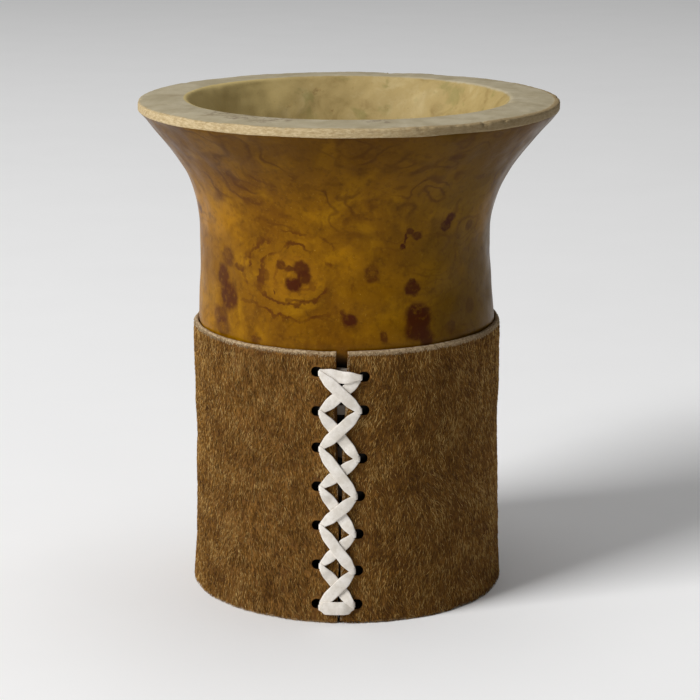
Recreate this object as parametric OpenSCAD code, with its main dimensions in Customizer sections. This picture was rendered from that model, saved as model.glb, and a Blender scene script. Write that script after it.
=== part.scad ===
// Mate gourd cup: a flared drinking gourd that stands in a sleeve of hair-on
// hide, laced up at the front with one flat strip of white leather.
// Millimetres, +Z up, origin at the middle of the base. The seam faces -Y.

/* [Gourd] */
// Overall height, from the base to the crest of the rim
gourd_h = 110.4; // [100:0.2:135]
// Outer diameter of the flared rim
rim_d = 93; // [77:0.5:112]
// Inner diameter of the mouth, where the rim's broad face ends
mouth_d = 71; // [59:0.5:74]
// Height of the cut band round the rim's outer edge
rim_band = 1.9; // [1.2:0.1:3]
// Rise of the rim's face from its outer edge to the mouth
rim_rise = 0.4; // [0:0.1:1]
// Wear of the band's top edge
rim_wear = 0.5; // [0.1:0.1:0.8]
// Rounding of the mouth's edge
mouth_round = 1.1; // [0.5:0.1:2]
// Slant of the flare where it meets the rim, from upright
flare_angle = 38; // [30:1:45]
// Slant of the mouth where it leads down into the neck, from upright
mouth_angle = 36; // [25:1:42]
// Outer diameter of the waist, the narrowest place above the sleeve
waist_d = 64.5; // [58:0.5:72]
// Height of the waist above the base
waist_z = 79.4; // [75:0.2:90]
// Outer diameter where the gourd enters the sleeve
collar_d = 66.2; // [64:0.2:80]
// Outer diameter of the body inside the sleeve
body_d = 64; // [53:0.5:66]
// Diameter of the flat spot that the gourd stands on
base_d = 42; // [34:1:50]
// Thickness of the wall round the body
wall = 6.5; // [4.5:0.25:9]
// Thickness of the floor
floor_t = 9; // [6:0.5:14]

/* [Sleeve] */
// Height of the sleeve
sleeve_h = 61; // [50:0.5:74]
// Thickness of the hide with its short hair
hide_t = 1.1; // [0.8:0.1:1.6]
// Rounding of the hide's cut edges
hide_bevel = 0.35; // [0.1:0.05:0.4]
// Gap between the hide's top edge and the gourd
collar_gap = 0.3; // [0.1:0.05:0.6]
// How far the sleeve spreads at its foot
foot_flare = 1.15; // [0:0.05:2]
// Width of the seam at the top edge
seam_top = 2.5; // [1:0.1:3.2]
// Width of the seam at the foot
seam_foot = 0.5; // [0.3:0.1:1.5]
// Shift of the seam's open top towards the right-hand flap
seam_skew = 0.6; // [0:0.1:1]

/* [Lacing] */
// Number of rows of holes
rows = 7; // [5:1:8]
// Drop from the top edge to the first row
first_row_drop = 4.9; // [3.5:0.1:7]
// Rise from the foot to the last row
last_row_rise = 4.3; // [3:0.1:7]
// Distance from the seam to the left-hand holes
left_reach = 5; // [4:0.1:6.5]
// Distance from the seam to the top right-hand hole
right_reach_top = 5.5; // [4.5:0.1:6.5]
// Distance from the seam to the bottom right-hand hole
right_reach_foot = 4.1; // [3.4:0.1:6.5]
// Diameter of the punched holes
hole_d = 2.2; // [1.8:0.1:2.7]
// Width of the lace between its holes
lace_w = 2.6; // [2:0.1:3.2]
// Thickness of the lace
lace_t = 0.42; // [0.3:0.02:0.52]
// Air between the lace and what it touches
lace_air = 0.05; // [0.02:0.01:0.1]
// Air between the innermost pass of the lace and the gourd
body_air = 0.16; // [0.05:0.01:0.5]

/* [Hidden] */

round_fn = 128;
curve_steps = 14;     // straight pieces in one long curve of an outline
edge_steps = 6;       // straight pieces in a short curve at an edge
hide_steps = 36;      // straight pieces in the height of the sleeve
foot_round_h = 11;    // height of the rounding between the base and the body
bowl_h = 15;          // height of the rounding at the bottom of the cavity
collar_taper = 10;    // height over which the body narrows below the collar
collar_lean = 0.45;   // how much narrower the collar is a little above the sleeve
waist_pull = 0.53;    // share of the flare's height that the curve rises straight from the waist
flare_pull = 0.37;    // the same at the rim, along the flare's slant
neck_rise = 5;        // from the waist up to the neck inside
cavity_drop = 16;     // from the waist down to the top of the straight cavity
sleeve_waist_z = 0.64 * sleeve_h;
sleeve_closed_z = 0.95 * sleeve_h;  // where the hide has closed in on the collar

// The holes are punched by hand: from the top row down, how far each left-hand
// hole sits above an even spacing, and each right-hand hole below its partner.
left_lift = [0.1, 0, 0.6, 0.5, 0.4, 0.3, 0];
right_drop = [1.0, -0.3, 2.3, 2.0, 1.8, 1.2, -0.1];

function lerp(a, b, t) = a + (b - a) * t;

// A share from 0 to 1, eased at both ends.
function smooth(t) = let (u = min(1, max(0, t))) u * u * (3 - 2 * u);

// A vector at an angle from upright.
function slant(angle, length) = length * [sin(angle), cos(angle)];

// The points of a cubic curve from a to d, pulled towards b and c, without a.
function curve(a, b, c, d, steps = curve_steps) = [
    for (i = [1 : steps]) let (t = i / steps, s = 1 - t)
        s*s*s * a + 3*s*s*t * b + 3*s*t*t * c + t*t*t * d
];

// ---- Outlines: [radius, height] ----

collar_r = collar_d / 2;
waist_r = waist_d / 2;
rim_r = rim_d / 2;
mouth_r = mouth_d / 2;
body_r = body_d / 2;
base_r = base_d / 2;
cavity_r = body_r - wall;
neck_r = waist_r - wall;
rim_edge_z = gourd_h - rim_rise;
rim_under_z = rim_edge_z - rim_band;

// From the base up the outside to the waist. The body is narrower below the
// collar, where the lace passes between it and the hide.
function gourd_outside_lower() =
    let (rise = waist_z - sleeve_h)
    concat(
        [[0, 0], [base_r, 0]],
        curve([base_r, 0], [lerp(base_r, body_r, 0.75), 0],
              [body_r, 0.4 * foot_round_h], [body_r, foot_round_h]),
        [for (i = [0 : curve_steps]) let (t = i / curve_steps)
            [lerp(body_r, collar_r, t*t*t), sleeve_h - collar_taper * (1 - t)]],
        curve([collar_r, sleeve_h], [collar_r - collar_lean, sleeve_h + 0.4 * rise],
              [waist_r, waist_z - 0.45 * rise], [waist_r, waist_z])
    );

// The flare, the cut band round the rim and the rim's broad face.
function gourd_outside_upper() =
    let (rise = rim_under_z - waist_z,
         under = [rim_r - 0.2 * rim_wear, rim_under_z],
         band_top = [rim_r - rim_wear, rim_edge_z],
         crest = [mouth_r + mouth_round, gourd_h],
         face_pull = (crest[0] - band_top[0]) / 3)
    concat(
        curve([waist_r, waist_z], [waist_r, waist_z + waist_pull * rise],
              under - slant(flare_angle, flare_pull * rise), under),
        [[rim_r, rim_under_z + 0.3 * rim_band],
         [rim_r - 0.3 * rim_wear, rim_edge_z - 0.2 * rim_band]],
        [band_top],
        curve(band_top, [band_top[0] + face_pull, rim_edge_z + 0.8 * rim_rise],
              [crest[0] - face_pull, gourd_h], crest, edge_steps)
    );

// The rounded edge of the mouth, the way down into the neck, the straight
// cavity and its bowl.
function gourd_inside() =
    let (crest = [mouth_r + mouth_round, gourd_h],
         lip = [mouth_r - 0.6 * mouth_round, gourd_h - mouth_round],
         neck_z = waist_z + neck_rise, cavity_z = waist_z - cavity_drop)
    concat(
        curve(crest, crest - [0.8 * mouth_round, 0],
              lip + slant(mouth_angle, 0.8 * mouth_round), lip, edge_steps),
        curve(lip, lip - slant(mouth_angle, 7), [neck_r, neck_z + 9], [neck_r, neck_z]),
        curve([neck_r, neck_z], [neck_r, waist_z], [cavity_r, cavity_z + 8],
              [cavity_r, cavity_z], edge_steps),
        curve([cavity_r, floor_t + bowl_h], [cavity_r, floor_t + 0.4 * bowl_h],
              [0.55 * cavity_r, floor_t], [0, floor_t])
    );

// Radius of the hide's inner face. It hangs clear of the body by two passes of
// lace, closes in on the collar and spreads a little at the foot.
lace_room = 2 * (lace_t + lace_air) + body_air;
function hide_inner_r(z) = z > sleeve_waist_z
    ? lerp(body_r + lace_room, collar_r + collar_gap,
           smooth((z - sleeve_waist_z) / (sleeve_closed_z - sleeve_waist_z)))
    : body_r + lace_room + foot_flare * pow(1 - max(0, z) / sleeve_waist_z, 2);
function hide_outer_r(z) = hide_inner_r(z) + hide_t;

// How much further out than a height above the hide a point lies, where the
// hide's face slopes.
function slope_factor(z) = norm([1, (hide_inner_r(z + 0.5) - hide_inner_r(z - 0.5))]);

function hide_outline() =
    let (b = hide_bevel, levels = [for (i = [0 : hide_steps]) sleeve_h * i / hide_steps])
    concat(
        [for (z = levels) [hide_inner_r(z), z]],
        [[hide_outer_r(sleeve_h) - b, sleeve_h], [hide_outer_r(sleeve_h - b), sleeve_h - b]],
        [for (i = [hide_steps - 1 : -1 : 1]) [hide_outer_r(levels[i]), levels[i]]],
        [[hide_outer_r(b), b], [hide_outer_r(0) - b, 0]]
    );

// ---- Places on the sleeve: x is the distance round its face from the seam ----

function seam_angle(x, z) = x / hide_outer_r(z) * 180 / PI;

function row_share(i) = i / (rows - 1);
function listed(v, i) = v[min(i, len(v) - 1)];
function left_z(i) = lerp(sleeve_h - first_row_drop, last_row_rise, row_share(i)) + listed(left_lift, i);
function hole_z(side, i) = left_z(i) - (side > 0 ? listed(right_drop, i) : 0);
function hole_x(side, i) = side < 0 ? -left_reach
    : lerp(right_reach_top, right_reach_foot, smooth(1.4 * row_share(i)));

// Each hole runs on towards the seam as a short notch, pulled open by the lace.
notch_past = 0.1;
notch = hole_d / 2 + notch_past;
function notch_x(side, i) = hole_x(side, i) - side * notch;

// ---- The lace: a closed loop swept through all the holes ----
// Down it goes in front from a left hole to the right hole of the row below,
// and up from a left hole to the right hole of the row above. Each hole takes
// it twice, side by side, and each row has two crossing passes behind.

lane = 0.26 * hole_d;             // height of each pass above or below a hole's middle
lane_w = 0.46 * hole_d;           // width of the lace where a hole squeezes it
back_w = 0.85 * lace_w;           // width of the lace behind the hide
edge_w = 0.2;                     // width of the bevel along the lace's edges
bend = lace_t / 2 + lace_air;     // from the hide to the lace's middle
layer = lace_t + lace_air;        // from one lace to the next one over it
corner_steps = 3;
down = -1;
up = 1;

// How many layers of lace a pass rides over, at even steps from hole to hole.
over = [0, 1, 1, 1, 1, 1, 1, 1, 0];
under = 0 * over;
over_at_right = [0, 0, 0, 0, 0.5, 1, 1, 1, 0];
all_over = [1, 1, 1, 1, 1, 1, 1, 1, 1];
pass_steps = len(over) - 1;

// One ring: its middle (x, z, height above the hide), the tilt of its width,
// the turn of its face towards a hole on one side, its width, and the height
// at which x is measured.
function ring(x, z, h, tilt, turn, side, w, at_z) =
    let (across = [-sin(tilt), cos(tilt), 0],
         face = [side * sin(turn), 0, cos(turn)] * lace_t / 2,
         flat_w = w / 2 - min(edge_w, w / 4),
         section = [[-w / 2, 0], [-flat_w, -1], [flat_w, -1], [w / 2, 0], [flat_w, 1], [-flat_w, 1]])
    [for (k = section)
        let (p = [x, z, h] + k[0] * across + k[1] * face,
             a = seam_angle(p[0], at_z),
             above = p[2] > -hide_t / 2 ? p[2] * slope_factor(p[1])
                 : (p[2] + hide_t) * slope_factor(p[1]) - hide_t,
             r = hide_outer_r(p[1]) + above)
        [r * sin(a), -r * cos(a), p[1]]];

// Height of the lace's middle in a hole, in its upper or its lower lane.
function lane_z(side, i, way) = hole_z(side, i) + way * lane;

// The turn round the hide's outer edge (0 to 90) or inner edge (90 to 180).
function corner(side, i, way, from_turn, to_turn, rise) =
    let (behind = max(from_turn, to_turn) > 90)
    [for (k = [0 : corner_steps])
        let (turn = lerp(from_turn, to_turn, k / corner_steps))
        ring(notch_x(side, i) + side * bend * sin(turn), lane_z(side, i, way),
             (behind ? -hide_t : 0) + (bend + rise * layer) * cos(turn), 0, turn, side, lane_w,
             hole_z(side, i))];

// A pass between two holes, in front of the hide or behind it, without its ends.
function pass(side, i, way, to_i, to_way, levels, width, bow, front) =
    let (x0 = notch_x(side, i), x1 = notch_x(-side, to_i),
         z0 = lane_z(side, i, way), z1 = lane_z(-side, to_i, to_way),
         at_z0 = hole_z(side, i), at_z1 = hole_z(-side, to_i),
         slope = atan((z1 - z0) / (x1 - x0)))
    [for (k = [1 : pass_steps - 1])
        let (u = k / pass_steps, from_end = min(u, 1 - u),
             h = bend + layer * levels[k])
        ring(lerp(x0, x1, u), lerp(z0, z1, u) + bow * pow(4 * u * (1 - u), 2),
             front ? h : -hide_t - h, slope * smooth(5 * from_end),
             front ? 0 : 180, side, lerp(lane_w, width, smooth(2.8 * from_end)),
             lerp(at_z0, at_z1, u))];

// In front from left hole i to right hole j, in by that hole, and back behind
// row j to its left hole. deep is 1 where the pass behind is the inner one.
function stitch(i, way_out, j, way_in, way_back, levels, width, bow, deep) = concat(
    corner(-1, i, way_out, 90, 0, 0),
    pass(-1, i, way_out, j, way_in, levels, width, bow, true),
    corner(1, j, way_in, 0, 90, 0),
    corner(1, j, way_in, 90, 180, deep),
    pass(1, j, way_in, j, way_back, deep * all_over, back_w, 0, false),
    corner(-1, j, way_back, 180, 90, deep)
);

last = rows - 1;
top_w = 1.12 * lace_w;
foot_w = 1.15 * lace_w;
top_bow = -0.7;                   // how far the straight strips sag at their middles
foot_bow = -0.15;
function crossing(i) = i % 2 == 0 ? over : under;
top_stitch = stitch(0, up, 0, up, down, over_at_right, top_w, top_bow, 0);
down_stitches = [for (i = [0 : last - 1])
    each stitch(i, down, i + 1, up, down, crossing(i), lace_w, 0, 0)];
foot_stitch = stitch(last, down, last, down, up, over, foot_w, foot_bow, 1);
up_stitches = [for (i = [last : -1 : 1])
    each stitch(i, up, i - 1, down, up, crossing(i), lace_w, 0, 1)];

// The closed tube through a loop of rings.
module loop(rings) {
    n = len(rings);
    m = len(rings[0]);
    polyhedron(
        points = [for (r = rings) each r],
        faces = [for (i = [0 : n - 1], k = [0 : m - 1])
            let (a = i * m, b = (i + 1) % n * m, l = (k + 1) % m)
            each [[a + k, a + l, b + l], [a + k, b + l, b + k]]]
    );
}

// ---- The pieces ----

module gourd() {
    color([0.56, 0.37, 0.06])
    rotate_extrude($fn = round_fn)
        polygon(concat(gourd_outside_lower(), gourd_outside_upper(), gourd_inside()));
}

// The wedge cut out of the sleeve at its seam, straight at the foot and open
// from a third of the height up.
module seam_gap() {
    open_z = sleeve_h / 3;
    past = 1;
    rotate([90, 0, 0])
        linear_extrude(hide_outer_r(0) + past)
            polygon([
                [-seam_foot / 2, -past],
                [seam_foot / 2, -past],
                [seam_foot / 2, open_z],
                [seam_top / 2 + seam_skew, sleeve_h + past],
                [-seam_top / 2 + seam_skew, sleeve_h + past],
                [-seam_foot / 2, open_z]
            ]);
}

module lace_hole(side, i) {
    depth = 3 * hide_t;
    z = hole_z(side, i);
    rotate([0, 0, seam_angle(hole_x(side, i), z)])
        translate([0, hide_t - hide_inner_r(z), z]) {
            rotate([90, 0, 0])
                cylinder(h = depth, d = hole_d, $fn = 48);
            translate([side > 0 ? -notch : 0, -depth, -hole_d / 2])
                cube([notch, depth, hole_d]);
        }
}

module hide_sleeve() {
    color([0.42, 0.29, 0.12])
    difference() {
        rotate_extrude($fn = round_fn)
            polygon(hide_outline());
        seam_gap();
        for (side = [-1, 1], i = [0 : last])
            lace_hole(side, i);
    }
}

module lace() {
    color([0.87, 0.84, 0.79])
    loop(concat(top_stitch, down_stitches, foot_stitch, up_stitches));
}

gourd();
hide_sleeve();
lace();
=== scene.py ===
"""Looks of the mate gourd cup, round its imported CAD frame.

Lengths are in millimetres and become metres as each mesh is made. Places on the gourd are given by an angle
in degrees, from the seam, which faces -Y, towards +X, and by a height above the base. On the sleeve x is the
distance round it from the seam.
"""

import math
from collections import namedtuple

import bpy
import numpy as np
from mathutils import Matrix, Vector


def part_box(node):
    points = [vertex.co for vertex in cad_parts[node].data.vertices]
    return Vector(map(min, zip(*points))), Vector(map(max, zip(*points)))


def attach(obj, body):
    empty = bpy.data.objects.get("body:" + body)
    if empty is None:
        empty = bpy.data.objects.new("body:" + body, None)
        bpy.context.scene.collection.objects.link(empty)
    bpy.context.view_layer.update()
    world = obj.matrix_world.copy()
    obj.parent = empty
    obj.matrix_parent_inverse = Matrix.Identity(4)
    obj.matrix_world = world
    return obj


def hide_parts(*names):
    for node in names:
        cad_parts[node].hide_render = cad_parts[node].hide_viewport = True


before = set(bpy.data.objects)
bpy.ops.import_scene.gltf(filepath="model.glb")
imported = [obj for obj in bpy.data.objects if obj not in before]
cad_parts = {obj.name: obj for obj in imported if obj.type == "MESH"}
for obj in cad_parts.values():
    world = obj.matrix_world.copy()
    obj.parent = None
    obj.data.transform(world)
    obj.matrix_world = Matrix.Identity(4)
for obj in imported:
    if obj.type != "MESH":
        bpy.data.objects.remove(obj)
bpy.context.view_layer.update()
MM = 0.001


def top_of(node):
    """Height of a CAD node's highest point."""
    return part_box(node)[1].z / MM


# -------------------- sizes

GOURD_H = top_of("gourd")
RIM_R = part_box("gourd")[1].x / MM
MOUTH_R = 35.5
RIM_BAND = 1.9            # height of the cut band round the rim
RIM_RISE = 0.4            # how far the rim's broad face rises from the band to the mouth
MOUTH_ROUND = 1.1         # size of the rounding at the mouth's edge
RIM_EDGE_Z = GOURD_H - RIM_RISE
RIM_UNDER_Z = RIM_EDGE_Z - RIM_BAND
WAIST_R, WAIST_Z = 32.25, 79.4
COLLAR_R = 33.1           # the gourd's radius where it comes out of the sleeve
BODY_R = 32.0
BASE_R = 21.0             # radius of the flat spot that the gourd stands on
WALL = 6.5
FLOOR_T = 9.0

SLEEVE_H = top_of("hide_sleeve")
HIDE_T = 1.1
HAIR_ROOM = 0.3          # the skin lies this far inside the CAD sleeve, and the hair fills the rest
LACE_AIR = 0.05           # between the lace and the hide, and between two layers of lace
LACE_ROOM = 1.1           # between the gourd and the hide, for the lace behind the hide
SLEEVE_WAIST_Z = 0.64 * SLEEVE_H
HOLE_R = 1.1
NOTCH = 1.05              # from a hole's middle to where the lace bends round the hide
NOTCH_AIR = 0.1           # from there to the notch's end

# Middles of the holes as (x, z), from the top row down.
LEFT_HOLES = [(-5.0, 56.2), (-5.0, 47.5), (-5.0, 39.4), (-5.0, 30.7),
              (-5.0, 22.0), (-5.0, 13.2), (-5.1, 4.3)]
RIGHT_HOLES = [(5.5, 55.2), (5.4, 47.8), (5.0, 37.1), (4.5, 28.7),
               (4.2, 20.2), (4.1, 12.0), (4.0, 4.4)]


# -------------------- shapes in numbers

def smooth(t):
    """Goes smoothly from 0 to 1 as t does."""
    t = np.clip(t, 0, 1)
    return t * t * (3 - 2 * t)


def waves(points, size, seed, count=24):
    """A smooth random field of unit strength, with bumps about as far apart as size."""
    rng = np.random.default_rng(seed)
    way = rng.normal(size=(count, 3))
    way /= np.linalg.norm(way, axis=1)[:, None]
    way *= (2 * np.pi / size * rng.uniform(0.6, 1.6, count))[:, None]
    phase = rng.uniform(0, 2 * np.pi, count)
    total = np.zeros(points.shape[:-1])
    for k in range(count):
        total += np.cos(points @ way[k] + phase[k])
    return total * math.sqrt(2 / count)


def bumps(points, layers):
    """Random fields on top of each other, each given by its height, size and seed."""
    return sum(height * waves(points, size, seed) for height, size, seed in layers)


def around(angle, radius, z):
    """Points on a circle about the cup's axis; the angle is in radians from -Y towards +X."""
    angle, radius, z = np.broadcast_arrays(angle, radius, z)
    return np.stack([radius * np.sin(angle), -radius * np.cos(angle), z], -1).astype(float)


def curve(a, b, c, d, steps):
    """Points of a cubic curve from a to d, pulled towards b and c, without a."""
    t = (np.arange(steps) + 1)[:, None] / steps
    s = 1 - t
    a, b, c, d = (np.array(point) for point in (a, b, c, d))
    return s**3 * a + 3 * s * s * t * b + 3 * s * t * t * c + t**3 * d


def straight(a, d, steps):
    """Points of a straight line from a to d, without a."""
    t = (np.arange(steps) + 1)[:, None] / steps
    return np.array(a) + t * (np.array(d) - np.array(a))


def slant(angle, length):
    """A step of that length at an angle in degrees from upright, as (radius, height)."""
    return length * np.array([math.sin(math.radians(angle)), math.cos(math.radians(angle))])


def add_piece(name, points, face_sets, materials, face_material=None):
    """A mesh piece from points in millimetres and arrays of faces, one array for each number of corners."""
    mesh = bpy.data.meshes.new(name)
    mesh.vertices.add(len(points))
    mesh.vertices.foreach_set("co", (np.asarray(points, float) * MM).ravel())
    corners = np.concatenate([f.ravel() for f in face_sets]).astype(np.int32)
    counts = np.concatenate([np.full(len(f), f.shape[1]) for f in face_sets])
    mesh.loops.add(len(corners))
    mesh.loops.foreach_set("vertex_index", corners)
    mesh.polygons.add(len(counts))
    mesh.polygons.foreach_set("loop_start", np.concatenate([[0], np.cumsum(counts)[:-1]]).astype(np.int32))
    mesh.update(calc_edges=True)
    for material in materials:
        mesh.materials.append(material)
    if face_material is not None:
        mesh.polygons.foreach_set("material_index", np.asarray(face_material, np.int32))
    mesh.polygons.foreach_set("use_smooth", np.ones(len(counts), bool))
    mesh.validate()
    piece = bpy.data.objects.new(name, mesh)
    bpy.context.scene.collection.objects.link(piece)
    return piece


def add_values(piece, name, values):
    """One number for each point, which the piece's material can read."""
    layer = piece.data.attributes.new(name, "FLOAT", "POINT")
    layer.data.foreach_set("value", np.asarray(values, np.float32))


def grid_faces(rows, columns, closed_rows=False, closed_columns=True):
    """Four-sided faces between neighbouring points of a rows x columns grid."""
    i = np.arange(rows if closed_rows else rows - 1)[:, None]
    j = np.arange(columns if closed_columns else columns - 1)[None, :]
    i2, j2 = (i + 1) % rows, (j + 1) % columns
    i, j, i2, j2 = np.broadcast_arrays(i, j, i2, j2)
    corners = [i * columns + j, i * columns + j2, i2 * columns + j2, i2 * columns + j]
    return np.stack(corners, -1).reshape(-1, 4)


# -------------------- materials

def colour(red, green, blue):
    """A colour from its 0 to 255 screen values."""
    def linear(v):
        v /= 255
        return v / 12.92 if v <= 0.04045 else ((v + 0.055) / 1.055) ** 2.4
    return (linear(red), linear(green), linear(blue), 1.0)


class Nodes:
    """A node material under construction. Each method adds a node and gives its output socket."""

    def __init__(self, name):
        self.material = bpy.data.materials.new(name)
        self.material.use_nodes = True
        self.tree = self.material.node_tree
        self.tree.nodes.clear()
        self.shader = self.tree.nodes.new("ShaderNodeBsdfPrincipled")
        output = self.tree.nodes.new("ShaderNodeOutputMaterial")
        self.tree.links.new(self.shader.outputs[0], output.inputs["Surface"])
        place = self.tree.nodes.new("ShaderNodeTexCoord").outputs["Object"]
        self.place = self.vector("SCALE", place, scale=1 / MM)

    def put(self, node, key, value):
        if isinstance(value, bpy.types.NodeSocket):
            self.tree.links.new(value, node.inputs[key])
        elif value is not None:
            node.inputs[key].default_value = value

    def add(self, kind, inputs, output=0, **settings):
        node = self.tree.nodes.new("ShaderNode" + kind)
        for key, value in settings.items():
            setattr(node, key, value)
        for key, value in inputs.items():
            self.put(node, key, value)
        return node.outputs[output]

    def finish(self, **inputs):
        for key, value in inputs.items():
            self.put(self.shader, key.replace("_", " "), value)
        return self.material

    def vector(self, operation, a, b=None, scale=None):
        inputs = {0: a, 1: b}
        if scale is not None:
            inputs["Scale"] = scale
        return self.add("VectorMath", inputs, operation=operation)

    def length(self, a):
        return self.add("VectorMath", {0: a}, output="Value", operation="LENGTH")

    def math(self, operation, a, b=None, c=None):
        return self.add("Math", {0: a, 1: b, 2: c}, operation=operation)

    def times(self, a, b):
        return self.math("MULTIPLY", a, b)

    def point_value(self, name):
        """The number that add_values gave to each point."""
        return self.add("Attribute", {}, output="Fac", attribute_name=name)

    def noise(self, size, detail=3.0, rough=0.5, at=None, twist=0.0, output="Fac"):
        """Noise with grains of about that size."""
        inputs = {"Vector": self.place if at is None else at, "Scale": 1 / size,
                  "Detail": detail, "Roughness": rough, "Distortion": twist}
        return self.add("TexNoise", inputs, output=output)

    def stretched(self, along, across):
        """Places squeezed so that noise grains become long upright streaks."""
        return self.vector("MULTIPLY", self.place, (1 / across, 1 / across, 1 / along))

    def warped(self, size, amount):
        """Places pushed about by noise."""
        push = self.noise(size, 3.0, output="Color")
        push = self.vector("SUBTRACT", push, (0.5, 0.5, 0.5))
        return self.vector("ADD", self.place, self.vector("SCALE", push, scale=2 * amount))

    def fade(self, value, start, end, low=0.0, high=1.0):
        """Goes smoothly from low to high as value goes from start to end."""
        inputs = {"Value": value, "From Min": start, "From Max": end, "To Min": low, "To Max": high}
        return self.add("MapRange", inputs, interpolation_type="SMOOTHSTEP")

    def mix(self, share, a, b, how="MIX"):
        return self.add("Mix", {0: share, 6: a, 7: b}, output=2, data_type="RGBA", blend_type=how)

    def ramp(self, value, stops):
        """A colour for each value between stops of (value, colour)."""
        node = self.tree.nodes.new("ShaderNodeValToRGB")
        node.color_ramp.interpolation = "EASE"
        while len(node.color_ramp.elements) < len(stops):
            node.color_ramp.elements.new(0.5)
        for element, (at, shade) in zip(node.color_ramp.elements, stops):
            element.position = at
            element.color = shade
        self.tree.links.new(value, node.inputs[0])
        return node.outputs[0]

    def part(self, vector, axis):
        return self.add("SeparateXYZ", {0: vector}, output=axis)

    def spot(self, at, centre, half_width, half_height):
        """1 inside an upright oval about centre, 0 outside, with a soft edge."""
        away = self.vector("SUBTRACT", at, tuple(centre))
        away = self.vector("MULTIPLY", away, (1 / half_width, 1 / half_width, 1 / half_height))
        return self.fade(self.length(away), 1.3, 0.7)

    def bump(self, height, depth, under=None):
        """Bump of that depth in millimetres, for a height from 0 to 1."""
        return self.add("Bump", {"Height": height, "Distance": depth * MM, "Strength": 1.0, "Normal": under})


# -------------------- camera, light and floor

CAMERA_TURN = math.radians(2.67)
CAMERA_AWAY = 515.2
CAMERA_H = 180.0
CAMERA_TILT = 0.2423      # radians, looking down
CAMERA_ASIDE = 0.69       # the camera stands this far to the right of the cup's axis
SENSOR = 36.0
LENS = 120.42


def add_camera():
    data = bpy.data.cameras.new("Camera")
    data.sensor_width = SENSOR
    data.lens = LENS
    data.clip_end = 50.0
    camera = bpy.data.objects.new("Camera", data)
    bpy.context.scene.collection.objects.link(camera)
    right = np.array([math.cos(CAMERA_TURN), math.sin(CAMERA_TURN), 0])
    place = around(CAMERA_TURN, CAMERA_AWAY, CAMERA_H) + CAMERA_ASIDE * right
    camera.location = place * MM
    camera.rotation_euler = (math.pi / 2 - CAMERA_TILT, 0, CAMERA_TURN)
    bpy.context.scene.camera = camera


def add_softbox(name, place, aim, side, watts):
    """A square soft light that looks at a point."""
    data = bpy.data.lights.new(name, "AREA")
    data.shape = "RECTANGLE"
    data.size = data.size_y = side * MM
    data.energy = watts
    lamp = bpy.data.objects.new(name, data)
    bpy.context.scene.collection.objects.link(lamp)
    lamp.location = np.array(place) * MM
    way = (np.array(aim) - np.array(place)) * MM
    lamp.rotation_euler = Vector(way).to_track_quat("-Z", "Y").to_euler()


SKY_SEEN = 1.0            # brightness of the backdrop as the camera sees it
SKY_LIGHT = 0.10          # brightness of the surroundings as light
FLOOR_REACH = 2600.0
FLOOR_SIDES = 64


def add_surroundings():
    """A white room: plain to the eye, and dimmer as light, so that the softboxes shape the cup."""
    world = bpy.data.worlds.new("World")
    world.use_nodes = True
    tree = world.node_tree
    tree.nodes.clear()
    output = tree.nodes.new("ShaderNodeOutputWorld")
    both = tree.nodes.new("ShaderNodeMixShader")
    seen = tree.nodes.new("ShaderNodeLightPath").outputs["Is Camera Ray"]
    tree.links.new(seen, both.inputs[0])
    for socket, strength in ((1, SKY_LIGHT), (2, SKY_SEEN)):
        sky = tree.nodes.new("ShaderNodeBackground")
        sky.inputs["Strength"].default_value = strength
        sky.inputs["Color"].default_value = (1, 1, 1, 1)
        tree.links.new(sky.outputs[0], both.inputs[socket])
    tree.links.new(both.outputs[0], output.inputs["Surface"])
    bpy.context.scene.world = world


def add_floor():
    shades = Nodes("Floor")
    grain = shades.noise(40.0, 2.0)
    paint = shades.mix(grain, (0.92, 0.92, 0.92, 1), (0.95, 0.95, 0.95, 1))
    paper = shades.finish(Base_Color=paint, Roughness=0.9, Specular_IOR_Level=0.2)
    rim = around(np.arange(FLOOR_SIDES) * 2 * np.pi / FLOOR_SIDES, FLOOR_REACH, 0.0)
    floor = add_piece("floor", rim, [np.arange(FLOOR_SIDES)[None, :]], [paper])


def add_lights():
    add_softbox("Key", (-1640, -1130, 1350), (0, 0, 60), 1000, 62.0)
    add_softbox("Top", (200, 500, 2400), (0, 0, 0), 1600, 16.0)


# -------------------- the gourd

COLUMNS = 560             # points in one ring of the gourd
LEAN_Z = [50, WAIST_Z, 95, GOURD_H]
LEAN = [0.0, -0.45, 0.1, 0.45]      # the gourd's middle is this far to the right at those heights
FLARE_SLANT = 38          # degrees from upright where the flare meets the rim
FUNNEL_SLANT = 36         # and on the inside, just below the mouth

# Unevenness of the skin, the cut rim and the inside, as (height, size, seed) of each layer of bumps.
SKIN_BUMPS = [(0.14, 24, 1), (0.035, 7, 2)]
CUT_BUMPS = [(0.05, 16, 3), (0.018, 3.0, 4), (0.008, 1.2, 5)]
INSIDE_BUMPS = [(0.18, 15, 6), (0.05, 4, 7)]


def lean(z):
    """How far the gourd's middle stands to the right of the sleeve's middle."""
    return np.interp(z, LEAN_Z, LEAN)


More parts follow.
